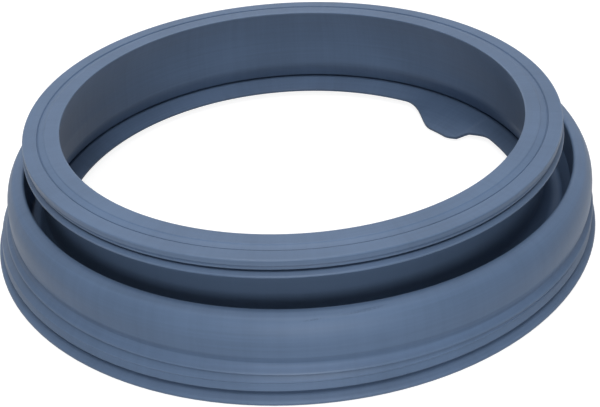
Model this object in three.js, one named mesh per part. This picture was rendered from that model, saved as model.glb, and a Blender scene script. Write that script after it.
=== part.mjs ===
// Door seal for a front-loading washing machine: one moulded ring of soft blue-grey rubber.
// Millimetres, +Z up. The origin is on the ring's axis, at the level of the foot that it stands on.
// The section is drawn once, as a closed outline of radius and height, and swept round the axis.
// On the way round, the inner lip swells inwards into one rounded tongue.
import * as THREE from 'three';

// Radial sizes, chained outwards from the collar's opening
const openingRadius = 141.1;     // inner edge of the collar's face
const collarWidth = 22.7;        // opening edge to the collar's outer edge
const wallFlare = 17.5;          // how far the inner wall runs outwards on its way down
const neckWall = 3.3;            // neck, where it meets the gutter
const neckLean = 1.2;            // neck leans inwards, up to the collar
const gutterWidth = 7.2;         // gutter floor, between neck and fold
const foldWall = 3.0;            // both walls of the hollow fold
const foldWidth = 13.0;          // gutter side to skirt side of the fold, at the skirt's rim
const crownLean = 0.5;           // fold's inner wall leans outwards towards the crown
const crownFlat = 3.3;           // nearly level stretch on top of the crown
const skirtLean = 6.4;           // skirt curves inwards by this on its way up
const coveDepth = 1.0;           // cove, in from the skirt's rim
const ridgeStep = 2.4;           // fine ridge stands out past the skirt's rim
const bandFlare = 2.9;           // band runs outwards below the ridge
const beadStep = 2.5;            // foot bead stands out past the band
const footWall = 9.3;            // foot ring, inside face to the bead's nose
const lipReach = 9.9;            // inner lip's edge, in from the foot of the inner wall

// Heights, chained upwards from the floor
const beadNose = 2.6;            // straight outer face of the foot bead
const beadSlope = 2.6;           // bead's upper slope, up to the groove
const grooveHeight = 2.1;        // clamp groove above the bead
const bandHeight = 9.5;          // band from the groove to the fine ridge
const coveHeight = 8.2;          // cove between ridge and skirt rim
const skirtHeight = 21.9;        // skirt's rim to the crown
const crownFall = 1.0;           // crown's outer edge below its top
const neckRise = 14.6;           // crown to the underside of the collar bead
const ribNose = 1.2;             // straight outer face of the rib under the panel slot
const ribSlope = 1.2;            // rib's upper slope, up to the slot
const slotHeight = 1.8;          // slot that grips the cabinet's panel
const flangeHeight = 6.6;        // slot to the top of the collar
const floorHeight = 17.0;        // gutter floor above the foot plane
const floorWall = 3.2;           // rubber under the gutter
const foldGap = 1.5;             // slit between the gutter and the web below it
const webWall = 3.4;             // web from the foot ring to the lip
const lipEdgeHeight = 5.1;       // middle of the lip's rounded edge
const lipWall = 2.3;             // lip at its edge

// Small features
const grooveDepth = 3.8;         // clamp groove, in from the band
const lineRise = 5.3;            // fine moulding line above the band's lower corner
const lineSize = 0.5;            // height and depth of the moulding line and of the ridge
const coveRise = 2.4;            // ridge to the middle of the cove, and on to its deepest part
const ribStep = 1.2;             // rib stands out past the collar's edge
const ribRun = 2.7;              // run of the rib's upper slope
const slotDepth = 6.0;           // panel slot, in from the collar's edge
const beltHeight = 2.1;          // fine belt on the collar's edge, above the slot
const beltDepth = 1.2;           // notch above that belt, in from the collar's edge
const landWidth = 9.5;           // flat inner land of the collar's face
const landStep = 0.4;            // fine step at the inner land's outer edge
const stripDrop = 1.1;           // sloping strip beside that step, down from the inner land's height
const stripWidth = 4.2;          // inner land's edge to the groove line at the foot of the strip
const grooveLine = 0.5;          // depth of that line, and its half width
const outerLandDrop = 0.6;       // outer land below the inner one
const outerLandWidth = 8.3;      // outer land with its rounded edge

// Roundings
const footRound = 1.6;           // foot ring and its bead
const webRound = 4.0;            // web where it turns down into the lip
const crownRound = 3.0;          // crown on the gutter side
const crownBend = 4.0;           // crown on the skirt side
const rimRound = 1.5;            // skirt's rim
const gutterRound = 3.4;         // both sides of the gutter floor
const collarRound = 0.8;         // collar's outer edge
const ribRound = 0.9;            // rib, opening edge and band's lower corner
const pocketRound = 1.5;         // corners inside the fold

// Curves of the section: a higher power keeps a wall upright for longer
const wallPower = 2.2;
const skirtPower = 3.3;
const wallSteps = 5;
const skirtSteps = 4;

// Tongue on the inner lip, angles in degrees from +X towards +Y
const tongueReach = 20.4;        // lip edge to the tongue's tip
const tongueDrop = 3.0;          // tongue's tip below the lip edge
const tongueStart = 22.2;        // foot of the gentle side
const tongueShoulder = 32.7;     // gentle side reaches the tip
const tongueNotch = 28.0;        // short steep side in the middle of the gentle one
const tongueNotchRun = 0.8;      // angle that the steep side takes
const tongueNotchShare = 0.39;   // share of the reach on the steep side
const tongueTipEnd = 38.7;       // tip ends and the far side falls back
const tongueEnd = 54.2;          // foot of the far side

// How the free-standing ring sits: its soft parts lie a little towards +X and lower on that side
const settling = {
  foot: { shift: 0, slope: 0 },
  lip: { shift: -0.3, slope: 0.0016 },
  neck: { shift: 0, slope: 0.0016 },
  ridge: { shift: 2.4, slope: 0.0078 },
  skirt: { shift: 3.4, slope: 0.0078 },
  collar: { shift: 1.3, slope: 0.0078 },
};

// Steps of the sweep
const sectionCount = 48;         // sections in a full turn
const tongueSplit = 3;           // sections in place of one along the tongue
const arcStep = 52;              // degrees between points on a rounded corner

// Radii and heights that follow
const collarRadius = openingRadius + collarWidth;
const wallFootRadius = openingRadius + wallFlare;
const neckRadius = wallFootRadius + neckWall;
const foldInnerRadius = neckRadius + gutterWidth;
const skirtRadius = foldInnerRadius + foldWidth;
const ridgeRadius = skirtRadius + ridgeStep;
const bandRadius = ridgeRadius + bandFlare;
const baseRadius = bandRadius + beadStep;
const footInnerRadius = baseRadius - footWall;
const lipRadius = wallFootRadius - lipReach;
const grooveBottom = beadNose + beadSlope;
const bandBottom = grooveBottom + grooveHeight;
const ridgeHeight = bandBottom + bandHeight;
const rimHeight = ridgeHeight + coveHeight;
const crownHeight = rimHeight + skirtHeight;
const beadBottom = crownHeight + neckRise;
const slotBottom = beadBottom + ribNose + ribSlope;
const slotTop = slotBottom + slotHeight;
const topHeight = slotTop + flangeHeight;
const floorUnder = floorHeight - floorWall;
const webTop = floorUnder - foldGap;
const webUnder = webTop - webWall;

// A corner of the outline: radius, height, rounding, the part it settles with and its share in the tongue
const corner = (r, z, round = 0, part = 'foot', lip = 0) => ({ r, z, round, part, lip });

function lipOutline() {
  const half = lipWall / 2;
  return [
    corner(wallFootRadius, webTop, webRound, 'lip'),
    corner(lipRadius, lipEdgeHeight + half, half, 'lip', 1),
    corner(lipRadius, lipEdgeHeight - half, half, 'lip', 1),
    corner(wallFootRadius, webUnder, webRound, 'lip'),
  ];
}

function footOutline() {
  const grooveRadius = bandRadius - grooveDepth;
  return [
    corner(footInnerRadius, webUnder, footRound),
    corner(footInnerRadius, 0),
    corner(baseRadius, 0, footRound),
    corner(baseRadius, beadNose, footRound),
    corner(grooveRadius, grooveBottom),
    corner(grooveRadius, bandBottom),
    corner(bandRadius, bandBottom, ribRound),
  ];
}

// The band leans inwards up to the ridge; the moulding line and the ridge are fine raised ribs
function bandOutline() {
  const bandAt = (rise) => bandRadius - bandFlare * rise / bandHeight;
  return [
    corner(bandAt(lineRise - lineSize), bandBottom + lineRise - lineSize),
    corner(bandAt(lineRise) + lineSize, bandBottom + lineRise),
    corner(bandAt(lineRise + lineSize), bandBottom + lineRise + lineSize),
    corner(ridgeRadius - lineSize, ridgeHeight - 2 * lineSize, 0, 'ridge'),
    corner(ridgeRadius + lineSize, ridgeHeight - lineSize, 0, 'ridge'),
    corner(ridgeRadius, ridgeHeight + lineSize, 0, 'ridge'),
    corner(skirtRadius - coveDepth / 2, ridgeHeight + coveRise - lineSize, 0, 'ridge'),
    corner(skirtRadius - coveDepth, ridgeHeight + 2 * coveRise - lineSize, coveRise, 'skirt'),
    corner(skirtRadius, rimHeight, rimRound, 'skirt'),
  ];
}

// Radius of the skirt at a share of its height; the inside of the fold follows the same curve
const skirtAt = (up) => skirtRadius - skirtLean * up ** skirtPower;

function foldOutline() {
  const crownInner = foldInnerRadius + crownLean;
  const points = [];
  for (let k = 1; k < skirtSteps; k += 1) {
    const up = k / skirtSteps;
    points.push(corner(skirtAt(up), rimHeight + skirtHeight * up, 0, 'skirt'));
  }
  points.push(corner(skirtAt(1), crownHeight - crownFall, crownBend, 'skirt'));
  points.push(corner(crownInner + crownFlat, crownHeight, 0, 'skirt'));
  points.push(corner(crownInner, crownHeight, crownRound, 'skirt'));
  points.push(corner(foldInnerRadius, floorHeight + gutterWidth, 0, 'skirt'));
  return points;
}

function gutterOutline() {
  return [
    corner(foldInnerRadius, floorHeight, gutterRound, 'neck'),
    corner(neckRadius, floorHeight, gutterRound, 'neck'),
    corner(neckRadius - neckLean, beadBottom, 0, 'collar'),
  ];
}

function collarOutline() {
  const nose = collarRadius + ribStep;
  const slotEnd = collarRadius - slotDepth;
  const belt = collarRadius - beltDepth / 2;
  const outerLand = topHeight - outerLandDrop;
  const landEdge = openingRadius + landWidth;
  return [
    corner(nose, beadBottom, ribRound / 2, 'collar'),
    corner(nose, beadBottom + ribNose, ribRound, 'collar'),
    corner(nose - ribRun, slotBottom, 0, 'collar'),
    corner(slotEnd, slotBottom, 0, 'collar'),
    corner(slotEnd, slotTop, 0, 'collar'),
    corner(belt, slotTop, 0, 'collar'),
    corner(belt, slotTop + beltHeight / 2, 0, 'collar'),
    corner(collarRadius - beltDepth, slotTop + beltHeight, 0, 'collar'),
    corner(collarRadius, slotTop + beltHeight + beltDepth / 2, 0, 'collar'),
    corner(collarRadius, outerLand, collarRound, 'collar'),
    corner(collarRadius - outerLandWidth, outerLand, 0, 'collar'),
    corner(landEdge + stripWidth, topHeight - stripDrop - grooveLine, 0, 'collar'),
    corner(landEdge + stripWidth - grooveLine, topHeight - stripDrop, 0, 'collar'),
    corner(landEdge + landStep, topHeight - landStep, 0, 'collar'),
    corner(landEdge, topHeight, 0, 'collar'),
    corner(openingRadius, topHeight, ribRound, 'collar'),
  ];
}

// The inner wall runs outwards quickly under the collar and then nearly straight down
function innerWallOutline() {
  const drop = topHeight - floorUnder;
  const points = [];
  for (let k = 1; k < wallSteps; k += 1) {
    const down = k / wallSteps;
    const out = wallFlare * (1 - (1 - down) ** wallPower);
    points.push(corner(openingRadius + out, topHeight - drop * down, 0, 'collar'));
  }
  points.push(corner(wallFootRadius, floorUnder, pocketRound, 'neck'));
  return points;
}

// Inside of the hollow fold, open to the bore through the slit above the web
function pocketOutline() {
  const inner = foldInnerRadius + foldWall;
  const middle = 0.5;
  const underCrown = crownHeight - foldWall;
  return [
    corner(inner, floorUnder, gutterRound, 'neck'),
    corner(inner + crownLean, underCrown, pocketRound, 'skirt'),
    corner(inner + crownLean + crownFlat, underCrown - crownFall, pocketRound, 'skirt'),
    corner(skirtAt(middle) - foldWall, rimHeight + skirtHeight * middle, 0, 'skirt'),
    corner(skirtRadius - foldWall, rimHeight, 0, 'skirt'),
    corner(skirtRadius - coveDepth - foldWall, ridgeHeight + 2 * coveRise - lineSize, 0, 'skirt'),
    corner(ridgeRadius - foldWall, ridgeHeight - foldWall, 0, 'ridge'),
    corner(ridgeRadius - foldWall, webTop, pocketRound),
  ];
}

// Replaces each rounded corner by an arc of a few points; an arc takes at most half of a side
function roundCorners(corners) {
  const largestShare = 0.48;
  const smallestArc = 0.05;
  const points = [];
  corners.forEach((c, i) => {
    const before = corners[(i + corners.length - 1) % corners.length];
    const after = corners[(i + 1) % corners.length];
    const toBefore = new THREE.Vector2(before.r - c.r, before.z - c.z);
    const toAfter = new THREE.Vector2(after.r - c.r, after.z - c.z);
    const reach = largestShare * Math.min(toBefore.length(), toAfter.length());
    toBefore.normalize();
    toAfter.normalize();
    const opening = Math.acos(THREE.MathUtils.clamp(toBefore.dot(toAfter), -1, 1));
    const turn = Math.PI - opening;
    const setback = Math.min(c.round * Math.tan(turn / 2), reach);
    if (setback < smallestArc) {
      points.push({ ...c });
      return;
    }
    const round = setback / Math.tan(turn / 2);
    const middle = toBefore.clone().add(toAfter).normalize();
    const centre = new THREE.Vector2(c.r, c.z).addScaledVector(middle, round / Math.sin(opening / 2));
    const first = new THREE.Vector2(c.r, c.z).addScaledVector(toBefore, setback).sub(centre);
    const last = new THREE.Vector2(c.r, c.z).addScaledVector(toAfter, setback).sub(centre);
    const sweep = Math.atan2(first.cross(last), first.dot(last));
    const steps = Math.max(1, Math.round(Math.abs(sweep) / THREE.MathUtils.degToRad(arcStep)));
    for (let k = 0; k <= steps; k += 1) {
      const spot = first.clone().rotateAround(new THREE.Vector2(), sweep * k / steps).add(centre);
      points.push({ ...c, r: spot.x, z: spot.y });
    }
  });
  return points;
}

const smooth = (from, to, value) => THREE.MathUtils.smoothstep(value, from, to);

// Share of the tongue's reach at an angle in degrees, 0 on the plain lip and 1 along the tip
function tongueAt(angle) {
  const gentleSide = (1 - tongueNotchShare) * smooth(tongueStart, tongueShoulder, angle);
  const steepSide = tongueNotchShare * smooth(tongueNotch, tongueNotch + tongueNotchRun, angle);
  const farSide = 1 - smooth(tongueTipEnd, tongueEnd, angle);
  return (gentleSide + steepSide) * farSide;
}

// Angles of the sections, closer together along the tongue and at both ends of its steep side
function sectionAngles() {
  const step = 360 / sectionCount;
  const angles = [tongueNotch, tongueNotch + tongueNotchRun];
  for (let i = 0; i < sectionCount; i += 1) {
    const start = i * step;
    const nearTongue = start + step > tongueStart && start < tongueEnd;
    const split = nearTongue ? tongueSplit : 1;
    for (let k = 0; k < split; k += 1) angles.push(start + step * k / split);
  }
  return [...new Set(angles)].sort((a, b) => a - b);
}

function sealGeometry() {
  const outline = roundCorners([
    ...lipOutline(),
    ...footOutline(),
    ...bandOutline(),
    ...foldOutline(),
    ...gutterOutline(),
    ...collarOutline(),
    ...innerWallOutline(),
    ...pocketOutline(),
  ]);
  const angles = sectionAngles();
  const positions = [];
  const faces = [];
  for (const degrees of angles) {
    const angle = THREE.MathUtils.degToRad(degrees);
    const tongue = tongueAt(degrees);
    for (const p of outline) {
      const { shift, slope } = settling[p.part];
      const r = p.r - p.lip * tongue * tongueReach;
      const x = r * Math.cos(angle);
      const z = p.z - p.lip * tongue * tongueDrop - slope * x;
      positions.push(x + shift, r * Math.sin(angle), z);
    }
  }
  const count = outline.length;
  for (let i = 0; i < angles.length; i += 1) {
    const next = (i + 1) % angles.length;
    for (let j = 0; j < count; j += 1) {
      const up = (j + 1) % count;
      const a = i * count + j;
      const b = i * count + up;
      const c = next * count + up;
      const d = next * count + j;
      faces.push(a, c, b, a, d, c);
    }
  }
  const geometry = new THREE.BufferGeometry();
  geometry.setAttribute('position', new THREE.Float32BufferAttribute(positions, 3));
  geometry.setIndex(faces);
  geometry.computeVertexNormals();
  return geometry;
}

const rubber = new THREE.MeshStandardMaterial({ color: 0x5f708a, roughness: 0.62, metalness: 0 });

const seal = new THREE.Mesh(sealGeometry(), rubber);
seal.name = 'door_seal';

const part = new THREE.Group();
part.add(seal);

export default part;
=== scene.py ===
# Washing machine door seal: one moulded ring of matt blue-grey rubber on a pale floor.
# The section is the solid's, in millimetres, with finer roundings and with a neck and inner wall
# that stand further in; the mesh is in metres.
import math

import bpy
from mathutils import Matrix, Vector


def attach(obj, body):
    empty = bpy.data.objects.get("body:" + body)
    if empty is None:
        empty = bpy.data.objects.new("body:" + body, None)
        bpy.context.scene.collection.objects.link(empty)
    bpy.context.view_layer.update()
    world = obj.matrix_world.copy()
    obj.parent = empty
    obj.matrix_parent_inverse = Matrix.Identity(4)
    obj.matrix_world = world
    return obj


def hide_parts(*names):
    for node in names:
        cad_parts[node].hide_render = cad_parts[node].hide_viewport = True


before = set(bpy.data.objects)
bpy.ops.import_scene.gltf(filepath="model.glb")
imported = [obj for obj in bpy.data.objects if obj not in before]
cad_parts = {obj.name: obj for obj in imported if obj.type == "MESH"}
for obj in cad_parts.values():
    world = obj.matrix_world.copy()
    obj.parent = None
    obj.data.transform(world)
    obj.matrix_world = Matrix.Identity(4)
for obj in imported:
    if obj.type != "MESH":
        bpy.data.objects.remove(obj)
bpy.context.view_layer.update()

MM = 0.001

# Radial sizes, chained outwards from the collar's opening
OPENING_RADIUS = 141.1
COLLAR_WIDTH = 22.7
WALL_REACH = 12.6
WALL_FOOT_REACH = 4.9
NECK_WALL = 3.3
GUTTER_WIDTH = 12.1
FOLD_WALL = 3.0
FOLD_WIDTH = 13.0
CROWN_LEAN = 0.5
CROWN_FLAT = 3.3
SKIRT_LEAN = 6.4
COVE_DEPTH = 1.0
RIDGE_STEP = 2.4
BAND_FLARE = 2.9
BEAD_STEP = 2.5
FOOT_WALL = 9.3
LIP_REACH = 9.9

# Heights, chained upwards from the floor
BEAD_NOSE = 2.6
BEAD_SLOPE = 2.6
GROOVE_HEIGHT = 2.1
BAND_HEIGHT = 9.5
COVE_HEIGHT = 8.2
SKIRT_HEIGHT = 21.9
CROWN_FALL = 1.0
NECK_RISE = 14.6
RIB_NOSE = 1.2
RIB_SLOPE = 1.2
SLOT_HEIGHT = 1.8
FLANGE_HEIGHT = 6.6
FLOOR_HEIGHT = 17.0
FLOOR_WALL = 3.2
FOLD_GAP = 1.5
WEB_WALL = 3.4
LIP_EDGE_HEIGHT = 5.1
LIP_WALL = 2.3

# Neck and inner wall: how far the curve under the collar comes down, and where the foot bends out
WALL_DROP = 38.0
WALL_BEND_RISE = 11.2
NECK_BEND_RISE = 9.0

# Small features
GROOVE_DEPTH = 3.8
LINE_RISE = 5.3
LINE_SIZE = 0.5
COVE_RISE = 2.4
RIB_STEP = 1.2
RIB_RUN = 2.7
SLOT_DEPTH = 6.0
BELT_HEIGHT = 2.1
BELT_DEPTH = 1.2
LAND_WIDTH = 9.5
LAND_STEP = 0.4
STRIP_DROP = 1.1
STRIP_WIDTH = 4.2
GROOVE_LINE = 0.5
OUTER_LAND_DROP = 0.6
OUTER_LAND_WIDTH = 8.3

# Roundings; the last two only soften corners that are sharp in the solid
FOOT_ROUND = 1.6
WEB_ROUND = 4.0
CROWN_ROUND = 3.0
CROWN_BEND = 4.0
RIM_ROUND = 1.5
GUTTER_ROUND = 3.4
COLLAR_ROUND = 0.8
RIB_ROUND = 0.9
POCKET_ROUND = 1.5
NECK_ROUND = 2.0
WALL_BEND_ROUND = 12.0
FINE_ROUND = 0.25
SOFT_ROUND = 1.0

# Curves of the section: their powers, and their steps
WALL_POWER = 2.2
SKIRT_POWER = 3.3
WALL_STEPS = 20
SKIRT_STEPS = 14

# Tongue on the inner lip: reach and drop in mm, angles in degrees, and the notch's share of the reach
TONGUE_REACH = 20.4
TONGUE_DROP = 3.0
TONGUE_START = 22.2
TONGUE_SHOULDER = 32.7
TONGUE_NOTCH = 28.0
TONGUE_NOTCH_RUN = 0.8
TONGUE_NOTCH_SHARE = 0.39
TONGUE_TIP_END = 38.7
TONGUE_END = 54.2

# How the free-standing ring sits: shift towards +X in mm, and fall towards +X
SETTLING = {
    "foot": (0.0, 0.0),
    "lip": (-0.3, 0.0016),
    "neck": (0.0, 0.0016),
    "ridge": (2.4, 0.0078),
    "skirt": (3.4, 0.0078),
    "collar": (1.3, 0.0078),
}

# Fineness of the mesh: step of the sweep in degrees, its splits along the tongue, and step of an arc
SWEEP_STEP = 2.5
TONGUE_SPLIT = 6
ARC_STEP = math.radians(16)

# Edges, in mm: how far from its ends a flat stretch gets a point, and how far an edge is felt
EDGE_GUARD = 0.8
EDGE_REACH = 0.7
EDGE_LAYER = "edge_turn"

# Rubber: colours, roughness and shine
RUBBER_DEEP = (0.095, 0.146, 0.240, 1)
RUBBER_PALE = (0.121, 0.186, 0.306, 1)
# Pale rubber of the convex edges: real wear, and a painted highlight where rounded edges catch the light
RUBBER_WORN_HIGHLIGHT = (0.165, 0.225, 0.33, 1)
# Dark rubber: real marks in the rubbed strokes, and painted shade in the hollows and on the upper neck
RUBBER_SCUFF_AND_SHADE = (0.06, 0.095, 0.16, 1)
RUBBER_ROUGHNESS = 0.48
RUBBER_SHINE = 0.23

# Textures, as scale and detail; the lines have a scale round the ring and one across it
CLOUDS = (17, 3)
GRAIN = (1500, 3)
FLOW_LINES = (1.6, 620, 3)
DRAW_MARKS = (52, 9, 2)

# How much each texture moves the tone, and the tones at which the rubber is deep and pale
CLOUD_TONE = 1.3
FLOW_TONE = 0.7
DRAW_TONE = 0.5
TONE_RANGE = (0.75, 1.75)

# Where wear with its painted highlight, and the painted shade in hollows, start and are full: turns of the
# section in radians, and levels of the textures
WORN_HIGHLIGHT_TURN = (0.3, 1.3)
CREASE_SHADE_TURN = (0.3, 1.4)
WORN_HIGHLIGHT_FLOW = (0.35, 0.65)
RUBBED_GRAIN = (0.3, 0.6)

# Share of the worn colour with its painted highlight, of the painted shade in hollows, of the rubbed strokes
# and of the painted shade on the neck, and the fade at the neck's ends in mm
WORN_HIGHLIGHT_SHARE = 0.4
CREASE_SHADE_SHARE = 0.3
RUBBED_SHARE = 0.45
NECK_SHADE_SHARE = 0.7
NECK_FADE = 1.0

# How much the lines, the grain and wear change the roughness, and the bump with its depth in mm
FLOW_ROUGHNESS = 0.22
GRAIN_ROUGHNESS = 0.14
WORN_POLISH = 0.1
BUMP_STRENGTH = 0.5
BUMP_DEPTH = 0.06

# Rubbed strokes on the crown: angle, height, half angle, half height, rise; and where a stroke is full
SCUFFS = [
    (-88.2, 44.9, 2.1, 0.5, 0.18),
    (-80.0, 45.7, 4.4, 0.4, 0.05),
]
SCUFF_FULL = 0.1

# Camera, fitted to the rings in the photograph
CAMERA_PITCH = math.radians(33.045)
CAMERA_ROLL = math.radians(-3.67)
CAMERA_DISTANCE = 0.68145
CAMERA_TARGET = Vector((0.00278, 0, -0.00225))
FOCAL_SHARE = 1037.2 / 600
SENSOR = 36.0
CLIP_START = 0.01
CLIP_END = 50

# Lamps: name, azimuth from +X towards +Y and elevation in degrees, and power in watts
LAMPS = [
    ("low_front_lamp", 270, 12, 12),
    ("high_front_lamp", 267, 66, 10.5),
    ("back_lamp", 92, 65, 12.5),
]
LAMP_DISTANCE = 1.6
LAMP_SIZE = 0.9
WORLD_LIGHT = 0.01

# Floor: half its side in metres, its depth under the seal in mm, its grey, and its glow to the camera
FLOOR_HALF = 6.0
FLOOR_DROP = 0.2
FLOOR_COLOUR = 0.3
FLOOR_GLOW = 0.9

# Radii and heights that follow from the sizes above
COLLAR_RADIUS = OPENING_RADIUS + COLLAR_WIDTH
WALL_RADIUS = OPENING_RADIUS + WALL_REACH
WALL_FOOT_RADIUS = WALL_RADIUS + WALL_FOOT_REACH
NECK_RADIUS = WALL_RADIUS + NECK_WALL
FOLD_INNER_RADIUS = NECK_RADIUS + GUTTER_WIDTH
SKIRT_RADIUS = FOLD_INNER_RADIUS + FOLD_WIDTH
RIDGE_RADIUS = SKIRT_RADIUS + RIDGE_STEP
BAND_RADIUS = RIDGE_RADIUS + BAND_FLARE
BASE_RADIUS = BAND_RADIUS + BEAD_STEP
FOOT_INNER_RADIUS = BASE_RADIUS - FOOT_WALL
LIP_RADIUS = WALL_FOOT_RADIUS - LIP_REACH
GROOVE_BOTTOM = BEAD_NOSE + BEAD_SLOPE
BAND_BOTTOM = GROOVE_BOTTOM + GROOVE_HEIGHT
RIDGE_HEIGHT = BAND_BOTTOM + BAND_HEIGHT
RIM_HEIGHT = RIDGE_HEIGHT + COVE_HEIGHT
CROWN_HEIGHT = RIM_HEIGHT + SKIRT_HEIGHT
BEAD_BOTTOM = CROWN_HEIGHT + NECK_RISE
SLOT_BOTTOM = BEAD_BOTTOM + RIB_NOSE + RIB_SLOPE
SLOT_TOP = SLOT_BOTTOM + SLOT_HEIGHT
TOP_HEIGHT = SLOT_TOP + FLANGE_HEIGHT
FLOOR_UNDER = FLOOR_HEIGHT - FLOOR_WALL
WEB_TOP = FLOOR_UNDER - FOLD_GAP
WEB_UNDER = WEB_TOP - WEB_WALL


def corner(r, z, rounding=FINE_ROUND, part="foot", lip=0.0):
    """One corner of the outline: radius, height, rounding, the part it settles with, share in the tongue."""
    return (r, z, rounding, part, lip)


def lip_outline():
    half = LIP_WALL / 2
    return [
        corner(WALL_FOOT_RADIUS, WEB_TOP, WEB_ROUND, "lip"),
        corner(LIP_RADIUS, LIP_EDGE_HEIGHT + half, half, "lip", 1),
        corner(LIP_RADIUS, LIP_EDGE_HEIGHT - half, half, "lip", 1),
        corner(WALL_FOOT_RADIUS, WEB_UNDER, WEB_ROUND, "lip"),
    ]


def foot_outline():
    groove_radius = BAND_RADIUS - GROOVE_DEPTH
    return [
        corner(FOOT_INNER_RADIUS, WEB_UNDER, FOOT_ROUND),
        corner(FOOT_INNER_RADIUS, 0),
        corner(BASE_RADIUS, 0, FOOT_ROUND),
        corner(BASE_RADIUS, BEAD_NOSE, FOOT_ROUND),
        corner(groove_radius, GROOVE_BOTTOM, SOFT_ROUND),
        corner(groove_radius, BAND_BOTTOM),
        corner(BAND_RADIUS, BAND_BOTTOM, RIB_ROUND),
    ]


def band_outline():
    """The band leans inwards up to the ridge; the moulding line and the ridge are fine raised ribs."""
    def band_at(rise):
        return BAND_RADIUS - BAND_FLARE * rise / BAND_HEIGHT

    line = BAND_BOTTOM + LINE_RISE
    return [
        corner(band_at(LINE_RISE - LINE_SIZE), line - LINE_SIZE),
        corner(band_at(LINE_RISE) + LINE_SIZE, line),
        corner(band_at(LINE_RISE + LINE_SIZE), line + LINE_SIZE),
        corner(RIDGE_RADIUS - LINE_SIZE, RIDGE_HEIGHT - 2 * LINE_SIZE, SOFT_ROUND, "ridge"),
        corner(RIDGE_RADIUS + LINE_SIZE, RIDGE_HEIGHT - LINE_SIZE, FINE_ROUND, "ridge"),
        corner(RIDGE_RADIUS, RIDGE_HEIGHT + LINE_SIZE, SOFT_ROUND, "ridge"),
        corner(SKIRT_RADIUS - COVE_DEPTH / 2, RIDGE_HEIGHT + COVE_RISE - LINE_SIZE, COVE_RISE, "ridge"),
        corner(SKIRT_RADIUS - COVE_DEPTH, RIDGE_HEIGHT + 2 * COVE_RISE - LINE_SIZE, COVE_RISE, "skirt"),
        corner(SKIRT_RADIUS, RIM_HEIGHT, RIM_ROUND, "skirt"),
    ]


def skirt_at(up):
    """Radius of the skirt at a share of its height; the inside of the fold follows the same curve."""
    return SKIRT_RADIUS - SKIRT_LEAN * up ** SKIRT_POWER


def fold_outline():
    crown_inner = FOLD_INNER_RADIUS + CROWN_LEAN
    points = []
    for k in range(1, SKIRT_STEPS):
        up = k / SKIRT_STEPS
        points.append(corner(skirt_at(up), RIM_HEIGHT + SKIRT_HEIGHT * up, 0, "skirt"))
    points.append(corner(skirt_at(1), CROWN_HEIGHT - CROWN_FALL, CROWN_BEND, "skirt"))
    points.append(corner(crown_inner + CROWN_FLAT, CROWN_HEIGHT, CROWN_BEND, "skirt"))
    points.append(corner(crown_inner, CROWN_HEIGHT, CROWN_ROUND, "skirt"))
    points.append(corner(FOLD_INNER_RADIUS, FLOOR_HEIGHT + GUTTER_WIDTH, GUTTER_ROUND, "skirt"))
    return points


def gutter_outline():
    return [
        corner(FOLD_INNER_RADIUS, FLOOR_HEIGHT, GUTTER_ROUND, "neck"),
        corner(NECK_RADIUS + WALL_FOOT_REACH, FLOOR_HEIGHT, GUTTER_ROUND, "neck"),
        corner(NECK_RADIUS, FLOOR_HEIGHT + NECK_BEND_RISE, WALL_BEND_ROUND, "neck"),
        corner(NECK_RADIUS, BEAD_BOTTOM, NECK_ROUND, "collar"),
    ]


def collar_outline():
    nose = COLLAR_RADIUS + RIB_STEP
    slot_end = COLLAR_RADIUS - SLOT_DEPTH
    belt = COLLAR_RADIUS - BELT_DEPTH / 2
    outer_land = TOP_HEIGHT - OUTER_LAND_DROP
    land_edge = OPENING_RADIUS + LAND_WIDTH
    shape = [
        (nose, BEAD_BOTTOM, RIB_ROUND / 2),
        (nose, BEAD_BOTTOM + RIB_NOSE, RIB_ROUND),
        (nose - RIB_RUN, SLOT_BOTTOM, SOFT_ROUND),
        (slot_end, SLOT_BOTTOM, FINE_ROUND),
        (slot_end, SLOT_TOP, FINE_ROUND),
        (belt, SLOT_TOP, FINE_ROUND),
        (belt, SLOT_TOP + BELT_HEIGHT / 2, FINE_ROUND),
        (COLLAR_RADIUS - BELT_DEPTH, SLOT_TOP + BELT_HEIGHT, FINE_ROUND),
        (COLLAR_RADIUS, SLOT_TOP + BELT_HEIGHT + BELT_DEPTH / 2, FINE_ROUND),
        (COLLAR_RADIUS, outer_land, COLLAR_ROUND),
        (COLLAR_RADIUS - OUTER_LAND_WIDTH, outer_land, FINE_ROUND),
        (land_edge + STRIP_WIDTH, TOP_HEIGHT - STRIP_DROP - GROOVE_LINE, FINE_ROUND),
        (land_edge + STRIP_WIDTH - GROOVE_LINE, TOP_HEIGHT - STRIP_DROP, FINE_ROUND),
        (land_edge + LAND_STEP, TOP_HEIGHT - LAND_STEP, SOFT_ROUND),
        (land_edge, TOP_HEIGHT, SOFT_ROUND),
        (OPENING_RADIUS, TOP_HEIGHT, RIB_ROUND),
    ]
    return [corner(r, z, rounding, "collar") for r, z, rounding in shape]


def inner_wall_outline():
    """The inner wall runs outwards under the collar, then straight down, and turns outwards at its foot."""
    points = []
    for k in range(1, WALL_STEPS + 1):
        down = k / WALL_STEPS
        out = WALL_REACH * (1 - (1 - down) ** WALL_POWER)
        points.append(corner(OPENING_RADIUS + out, TOP_HEIGHT - WALL_DROP * down, 0, "collar"))
    points.append(corner(WALL_RADIUS, FLOOR_UNDER + WALL_BEND_RISE, WALL_BEND_ROUND, "neck"))
    points.append(corner(WALL_FOOT_RADIUS, FLOOR_UNDER, POCKET_ROUND, "neck"))
    return points


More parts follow.
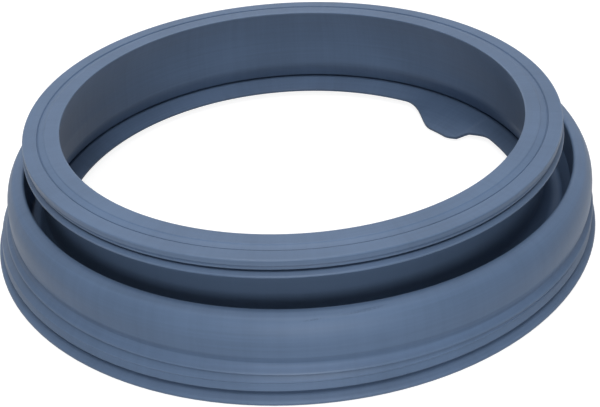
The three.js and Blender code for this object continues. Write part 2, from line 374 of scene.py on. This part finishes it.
def pocket_outline():
    """Inside of the hollow fold, open to the bore through the slit above the web."""
    inner = FOLD_INNER_RADIUS + FOLD_WALL
    under_crown = CROWN_HEIGHT - FOLD_WALL
    cove = RIDGE_HEIGHT + 2 * COVE_RISE - LINE_SIZE
    middle = 0.5
    return [
        corner(inner, FLOOR_UNDER, GUTTER_ROUND, "neck"),
        corner(inner + CROWN_LEAN, under_crown, POCKET_ROUND, "skirt"),
        corner(inner + CROWN_LEAN + CROWN_FLAT, under_crown - CROWN_FALL, POCKET_ROUND, "skirt"),
        corner(skirt_at(middle) - FOLD_WALL, RIM_HEIGHT + SKIRT_HEIGHT * middle, CROWN_BEND, "skirt"),
        corner(SKIRT_RADIUS - FOLD_WALL, RIM_HEIGHT, RIM_ROUND, "skirt"),
        corner(SKIRT_RADIUS - COVE_DEPTH - FOLD_WALL, cove, RIM_ROUND, "skirt"),
        corner(RIDGE_RADIUS - FOLD_WALL, RIDGE_HEIGHT - FOLD_WALL, RIM_ROUND, "ridge"),
        corner(RIDGE_RADIUS - FOLD_WALL, WEB_TOP, POCKET_ROUND),
    ]


def round_corners(corners):
    """Replaces each rounded corner by an arc; a rounding too large for its edges is cut to fit."""
    largest_share = 0.48
    smallest_arc = 0.02
    points = []
    for i, (r, z, rounding, part, lip) in enumerate(corners):
        here = Vector((r, z))
        before = Vector(corners[i - 1][:2]) - here
        after = Vector(corners[(i + 1) % len(corners)][:2]) - here
        reach = largest_share * min(before.length, after.length)
        before.normalize()
        after.normalize()
        opening = math.acos(max(-1.0, min(1.0, before.dot(after))))
        half_turn = (math.pi - opening) / 2
        setback = min(rounding * math.tan(half_turn), reach)
        if setback < smallest_arc:
            points.append((r, z, part, lip))
            continue
        radius = setback / math.tan(half_turn)
        centre = here + (before + after).normalized() * (radius / math.sin(opening / 2))
        first = here + before * setback - centre
        last = here + after * setback - centre
        sweep = math.atan2(first.x * last.y - first.y * last.x, first.dot(last))
        steps = max(2, round(abs(sweep) / ARC_STEP))
        for k in range(steps + 1):
            turn = sweep * k / steps
            x = first.x * math.cos(turn) - first.y * math.sin(turn)
            y = first.x * math.sin(turn) + first.y * math.cos(turn)
            points.append((centre.x + x, centre.y + y, part, lip))
    return points


def guard_edges(points):
    """Adds the two points of EDGE_GUARD to each long straight stretch of the outline."""
    guarded = []
    for i, point in enumerate(points):
        r, z, part, lip = point
        guarded.append(point)
        next_r, next_z, next_part, next_lip = points[(i + 1) % len(points)]
        length = math.dist((r, z), (next_r, next_z))
        if length < 3 * EDGE_GUARD or part != next_part or lip != next_lip:
            continue
        for share in (EDGE_GUARD / length, 1 - EDGE_GUARD / length):
            guarded.append((r + (next_r - r) * share, z + (next_z - z) * share, part, lip))
    return guarded


def edge_turns(outline):
    """How far the section turns near each point, in radians: above 0 at an edge, below 0 in a hollow."""
    count = len(outline)
    turns = []
    along = [0.0]
    for i in range(count):
        r, z = outline[i][:2]
        before = (r - outline[i - 1][0], z - outline[i - 1][1])
        following = outline[(i + 1) % count]
        after = (following[0] - r, following[1] - z)
        cross = before[0] * after[1] - before[1] * after[0]
        turns.append(math.atan2(cross, before[0] * after[0] + before[1] * after[1]))
        along.append(along[-1] + math.hypot(*after))
    perimeter = along.pop()
    way = math.copysign(1, sum(turns))
    near = []
    for here in along:
        gaps = [abs((there - here + perimeter / 2) % perimeter - perimeter / 2) for there in along]
        near.append(way * sum(turn for turn, gap in zip(turns, gaps) if gap < EDGE_REACH))
    return near


def smooth(low, high, value):
    t = max(0.0, min(1.0, (value - low) / (high - low)))
    return t * t * (3 - 2 * t)


def tongue_at(angle):
    """Share of the tongue's reach at an angle in degrees."""
    gentle_side = (1 - TONGUE_NOTCH_SHARE) * smooth(TONGUE_START, TONGUE_SHOULDER, angle)
    steep_side = TONGUE_NOTCH_SHARE * smooth(TONGUE_NOTCH, TONGUE_NOTCH + TONGUE_NOTCH_RUN, angle)
    far_side = 1 - smooth(TONGUE_TIP_END, TONGUE_END, angle)
    return (gentle_side + steep_side) * far_side


def section_angles():
    """Angles of the sections in degrees, closer together along the tongue."""
    angles = []
    for i in range(round(360 / SWEEP_STEP)):
        start = i * SWEEP_STEP
        near_tongue = start + SWEEP_STEP > TONGUE_START and start < TONGUE_END
        split = TONGUE_SPLIT if near_tongue else 1
        angles += [start + SWEEP_STEP * k / split for k in range(split)]
    return angles


def sweep_round(outline, angles):
    """Vertices in metres and faces of the outline swept round the axis, settled and with the tongue."""
    count = len(outline)
    vertices = []
    faces = []
    for i, degrees in enumerate(angles):
        angle = math.radians(degrees)
        tongue = tongue_at(degrees)
        for r, z, part, lip in outline:
            shift, slope = SETTLING[part]
            radius = r - lip * tongue * TONGUE_REACH
            x = radius * math.cos(angle)
            height = z - lip * tongue * TONGUE_DROP - slope * x
            vertices.append(((x + shift) * MM, radius * math.sin(angle) * MM, height * MM))
        following = (i + 1) % len(angles)
        for j in range(count):
            up = (j + 1) % count
            faces.append((i * count + j, following * count + j, following * count + up, i * count + up))
    return vertices, faces


def make_seal():
    outline = guard_edges(round_corners(
        lip_outline() + foot_outline() + band_outline() + fold_outline()
        + gutter_outline() + collar_outline() + inner_wall_outline() + pocket_outline()
    ))
    angles = section_angles()
    vertices, faces = sweep_round(outline, angles)
    mesh = bpy.data.meshes.new("door_seal_rubber")
    mesh.from_pydata(vertices, [], faces)
    mesh.update()
    mesh.shade_smooth()
    edge = mesh.attributes.new(EDGE_LAYER, "FLOAT", "POINT")
    edge.data.foreach_set("value", edge_turns(outline) * len(angles))
    seal = bpy.data.objects.new("door_seal_rubber", mesh)
    bpy.context.scene.collection.objects.link(seal)
    flat_faces = seal.modifiers.new("flat_faces", "WEIGHTED_NORMAL")
    flat_faces.keep_sharp = False
    seal.data.materials.append(rubber_material())
    return seal


class Graph:
    """Short calls for the nodes of one material."""

    def __init__(self, tree):
        self.nodes = tree.nodes
        self.links = tree.links

    def feed(self, socket, value):
        if isinstance(value, bpy.types.NodeSocket):
            self.links.new(value, socket)
        else:
            socket.default_value = value

    def maths(self, operation, *values):
        node = self.nodes.new("ShaderNodeMath")
        node.operation = operation
        for socket, value in zip(node.inputs, values):
            self.feed(socket, value)
        return node.outputs[0]

    def step(self, value, low, high):
        """Rises smoothly from 0 at low to 1 at high."""
        node = self.nodes.new("ShaderNodeMapRange")
        node.interpolation_type = "SMOOTHSTEP"
        for name, setting in (("Value", value), ("From Min", low), ("From Max", high)):
            self.feed(node.inputs[name], setting)
        return node.outputs[0]

    def noise(self, point, scale, detail):
        node = self.nodes.new("ShaderNodeTexNoise")
        self.feed(node.inputs["Vector"], point)
        node.inputs["Scale"].default_value = scale
        node.inputs["Detail"].default_value = detail
        return node.outputs[0]

    def ring_noise(self, place, around, across, detail):
        """Noise drawn out round the ring or across it, without a seam where the angle starts again."""
        node = self.nodes.new("ShaderNodeTexNoise")
        node.noise_dimensions = "4D"
        point = self.nodes.new("ShaderNodeCombineXYZ")
        self.feed(point.inputs["X"], self.maths("MULTIPLY", self.maths("COSINE", place["angle"]), around))
        self.feed(point.inputs["Y"], self.maths("MULTIPLY", self.maths("SINE", place["angle"]), around))
        self.feed(point.inputs["Z"], self.maths("MULTIPLY", place["height"], across))
        self.feed(node.inputs["Vector"], point.outputs[0])
        self.feed(node.inputs["W"], self.maths("MULTIPLY", place["radius"], across))
        node.inputs["Scale"].default_value = 1.0
        node.inputs["Detail"].default_value = detail
        return node.outputs[0]

    def colour_mix(self, share, first, second):
        node = self.nodes.new("ShaderNodeMix")
        node.data_type = "RGBA"
        self.feed(node.inputs["Factor"], share)
        for socket, colour in (("A", first), ("B", second)):
            colours = [i for i in node.inputs if i.name == socket and i.type == "RGBA"]
            self.feed(colours[0], colour)
        return [o for o in node.outputs if o.type == "RGBA"][0]

    def place(self):
        """Where a point of the seal is: its position in metres, and its angle, radius and height."""
        position = self.nodes.new("ShaderNodeTexCoord").outputs["Object"]
        split = self.nodes.new("ShaderNodeSeparateXYZ")
        self.feed(split.inputs[0], position)
        x, y, z = split.outputs
        square = self.maths("ADD", self.maths("MULTIPLY", x, x), self.maths("MULTIPLY", y, y))
        angle = self.maths("ARCTAN2", y, x)
        return {"position": position, "angle": angle, "radius": self.maths("SQRT", square), "height": z}


def scuff(graph, place, angle, height, half_angle, half_height, rise):
    """A thin rubbed stroke along the ring; angles in degrees, heights in mm, rise in mm per degree."""
    along = graph.maths("SUBTRACT", place["angle"], math.radians(angle))
    middle = graph.maths("MULTIPLY_ADD", along, math.degrees(1) * rise * MM, height * MM)
    above = graph.maths("SUBTRACT", place["height"], middle)
    far = graph.maths("POWER", graph.maths("DIVIDE", along, math.radians(half_angle)), 2)
    off = graph.maths("POWER", graph.maths("DIVIDE", above, half_height * MM), 2)
    return graph.step(graph.maths("ADD", far, off), 1.0, SCUFF_FULL)


def scuffs(graph, place):
    total = 0.0
    for stroke in SCUFFS:
        total = graph.maths("ADD", total, scuff(graph, place, *stroke))
    return total


def painted_neck_shade(graph, place):
    """1 on the upper neck, which is drawn darker as painted shade in the recess under the collar, and 0 on
    all the rest.
    """
    fades = [
        ("radius", NECK_RADIUS - 2 * NECK_FADE, NECK_RADIUS - NECK_FADE),
        ("radius", FOLD_INNER_RADIUS - NECK_FADE, FOLD_INNER_RADIUS - 3 * NECK_FADE),
        ("height", FLOOR_HEIGHT, CROWN_HEIGHT),
        ("height", BEAD_BOTTOM, BEAD_BOTTOM - 2 * NECK_FADE),
    ]
    share = 1.0
    for way, low, high in fades:
        share = graph.maths("MULTIPLY", share, graph.step(place[way], low * MM, high * MM))
    return share


def rubber_colour(graph, place, flow, grain, turn, worn_highlight):
    """Cloudy tone with flow lines and draw marks, paler on worn edges with a painted highlight, darker with
    painted shade in hollows and on the neck, and darker in the rubbed strokes.
    """
    clouds = graph.noise(place["position"], *CLOUDS)
    draw = graph.ring_noise(place, *DRAW_MARKS)
    tone = graph.maths("MULTIPLY", clouds, CLOUD_TONE)
    tone = graph.maths("MULTIPLY_ADD", flow, FLOW_TONE, tone)
    tone = graph.maths("MULTIPLY_ADD", draw, DRAW_TONE, tone)
    colour = graph.colour_mix(graph.step(tone, *TONE_RANGE), RUBBER_DEEP, RUBBER_PALE)
    # Painted shade: the hollows of the section are drawn darker, where creases lie in shade
    crease_shade = graph.step(graph.maths("MULTIPLY", turn, -1), *CREASE_SHADE_TURN)
    rubbed = graph.maths("MULTIPLY", scuffs(graph, place), graph.step(grain, *RUBBED_GRAIN))
    layers = [
        (worn_highlight, WORN_HIGHLIGHT_SHARE, RUBBER_WORN_HIGHLIGHT),
        (crease_shade, CREASE_SHADE_SHARE, RUBBER_SCUFF_AND_SHADE),
        (rubbed, RUBBED_SHARE, RUBBER_SCUFF_AND_SHADE),
        # painted shade on the upper neck, recessed under the collar
        (painted_neck_shade(graph, place), NECK_SHADE_SHARE, RUBBER_SCUFF_AND_SHADE),
    ]
    for where, share, over in layers:
        colour = graph.colour_mix(graph.maths("MULTIPLY", where, share), colour, over)
    return colour


def rubber_roughness(graph, flow, grain, worn_highlight):
    rough = graph.maths("MULTIPLY_ADD", graph.maths("SUBTRACT", flow, 0.5), FLOW_ROUGHNESS, RUBBER_ROUGHNESS)
    rough = graph.maths("MULTIPLY_ADD", graph.maths("SUBTRACT", grain, 0.5), GRAIN_ROUGHNESS, rough)
    return graph.maths("SUBTRACT", rough, graph.maths("MULTIPLY", worn_highlight, WORN_POLISH))


def rubber_material():
    """Matt moulded rubber with flow lines round the ring, draw marks, fine grain, edges paler from wear and
    as a painted highlight, and painted shade in the hollows and on the neck.
    """
    material = bpy.data.materials.new("moulded_rubber")
    material.use_nodes = True
    graph = Graph(material.node_tree)
    place = graph.place()
    shader = graph.nodes["Principled BSDF"]
    flow = graph.ring_noise(place, *FLOW_LINES)
    grain = graph.noise(place["position"], *GRAIN)
    edge = graph.nodes.new("ShaderNodeAttribute")
    edge.attribute_name = EDGE_LAYER
    turn = edge.outputs["Fac"]
    # Convex edges turn paler: wear, and a painted highlight where rounded edges catch the light
    worn_highlight = graph.maths("MULTIPLY", graph.step(turn, *WORN_HIGHLIGHT_TURN), graph.step(flow, *WORN_HIGHLIGHT_FLOW))
    graph.feed(shader.inputs["Base Color"], rubber_colour(graph, place, flow, grain, turn, worn_highlight))
    graph.feed(shader.inputs["Roughness"], rubber_roughness(graph, flow, grain, worn_highlight))
    shader.inputs["Specular IOR Level"].default_value = RUBBER_SHINE

    relief = graph.maths("MULTIPLY", graph.maths("ADD", grain, flow), 0.5)
    bump = graph.nodes.new("ShaderNodeBump")
    bump.inputs["Strength"].default_value = BUMP_STRENGTH
    bump.inputs["Distance"].default_value = BUMP_DEPTH * MM
    graph.feed(bump.inputs["Height"], relief)
    graph.feed(shader.inputs["Normal"], bump.outputs[0])
    return material


def make_camera():
    back = Vector((0, -math.cos(CAMERA_PITCH), math.sin(CAMERA_PITCH)))
    level = Vector((1, 0, 0))
    rise = Vector((0, math.sin(CAMERA_PITCH), math.cos(CAMERA_PITCH)))
    right = level * math.cos(CAMERA_ROLL) + rise * math.sin(CAMERA_ROLL)
    up = rise * math.cos(CAMERA_ROLL) - level * math.sin(CAMERA_ROLL)
    place = CAMERA_TARGET + back * CAMERA_DISTANCE
    data = bpy.data.cameras.new("camera")
    data.sensor_width = SENSOR
    data.lens = FOCAL_SHARE * SENSOR
    data.clip_start = CLIP_START
    data.clip_end = CLIP_END
    camera = bpy.data.objects.new("camera", data)
    turn = Matrix((right, up, back)).transposed()
    camera.matrix_world = Matrix.Translation(place) @ turn.to_4x4()
    bpy.context.scene.collection.objects.link(camera)
    bpy.context.scene.camera = camera


def area_light(name, azimuth, elevation, watts):
    """A round softbox aimed at the seal."""
    turn = math.radians(azimuth)
    lift = math.radians(elevation)
    towards = Vector((math.cos(turn) * math.cos(lift), math.sin(turn) * math.cos(lift), math.sin(lift)))
    data = bpy.data.lights.new(name, "AREA")
    data.shape = "DISK"
    data.size = LAMP_SIZE
    data.energy = watts
    light = bpy.data.objects.new(name, data)
    light.location = towards * LAMP_DISTANCE
    light.rotation_euler = (-towards).to_track_quat("-Z", "Y").to_euler()
    bpy.context.scene.collection.objects.link(light)


def seen_directly(nodes, links):
    """1 for camera, glossy and transmission rays, which see the white background."""
    paths = nodes.new("ShaderNodeLightPath")
    total = paths.outputs["Is Camera Ray"]
    for ray in ("Is Glossy Ray", "Is Transmission Ray"):
        add = nodes.new("ShaderNodeMath")
        add.operation = "ADD"
        add.use_clamp = True
        links.new(total, add.inputs[0])
        links.new(paths.outputs[ray], add.inputs[1])
        total = add.outputs[0]
    return total


def make_world(strength):
    world = bpy.data.worlds.new("studio")
    bpy.context.scene.world = world
    world.use_nodes = True
    nodes = world.node_tree.nodes
    links = world.node_tree.links
    nodes.clear()
    lit = nodes.new("ShaderNodeBackground")
    seen = nodes.new("ShaderNodeBackground")
    mix = nodes.new("ShaderNodeMixShader")
    output = nodes.new("ShaderNodeOutputWorld")
    lit.inputs["Color"].default_value = (1, 1, 1, 1)
    lit.inputs["Strength"].default_value = strength
    seen.inputs["Color"].default_value = (1, 1, 1, 1)
    seen.inputs["Strength"].default_value = 1.0
    links.new(seen_directly(nodes, links), mix.inputs["Fac"])
    links.new(lit.outputs[0], mix.inputs[1])
    links.new(seen.outputs[0], mix.inputs[2])
    links.new(mix.outputs[0], output.inputs["Surface"])


def make_floor():
    h = FLOOR_HALF
    mesh = bpy.data.meshes.new("floor")
    mesh.from_pydata([(-h, -h, 0), (h, -h, 0), (h, h, 0), (-h, h, 0)], [], [(0, 1, 2, 3)])
    floor = bpy.data.objects.new("floor", mesh)
    floor.location.z = -FLOOR_DROP * MM
    bpy.context.scene.collection.objects.link(floor)
    material = bpy.data.materials.new("floor_white")
    material.use_nodes = True
    nodes = material.node_tree.nodes
    links = material.node_tree.links
    nodes.clear()
    matt = nodes.new("ShaderNodeBsdfDiffuse")
    glow = nodes.new("ShaderNodeEmission")
    both = nodes.new("ShaderNodeAddShader")
    mix = nodes.new("ShaderNodeMixShader")
    output = nodes.new("ShaderNodeOutputMaterial")
    matt.inputs["Color"].default_value = (FLOOR_COLOUR, FLOOR_COLOUR, FLOOR_COLOUR, 1)
    glow.inputs["Strength"].default_value = FLOOR_GLOW
    links.new(seen_directly(nodes, links), mix.inputs["Fac"])
    links.new(matt.outputs[0], both.inputs[0])
    links.new(glow.outputs[0], both.inputs[1])
    links.new(matt.outputs[0], mix.inputs[1])
    links.new(both.outputs[0], mix.inputs[2])
    links.new(mix.outputs[0], output.inputs["Surface"])
    floor.data.materials.append(material)


make_camera()
seal = make_seal()
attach(seal, "root")
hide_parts("door_seal")
make_floor()
make_world(WORLD_LIGHT)
for lamp in LAMPS:
    area_light(*lamp)

bpy.context.scene.view_settings.view_transform = "Standard"
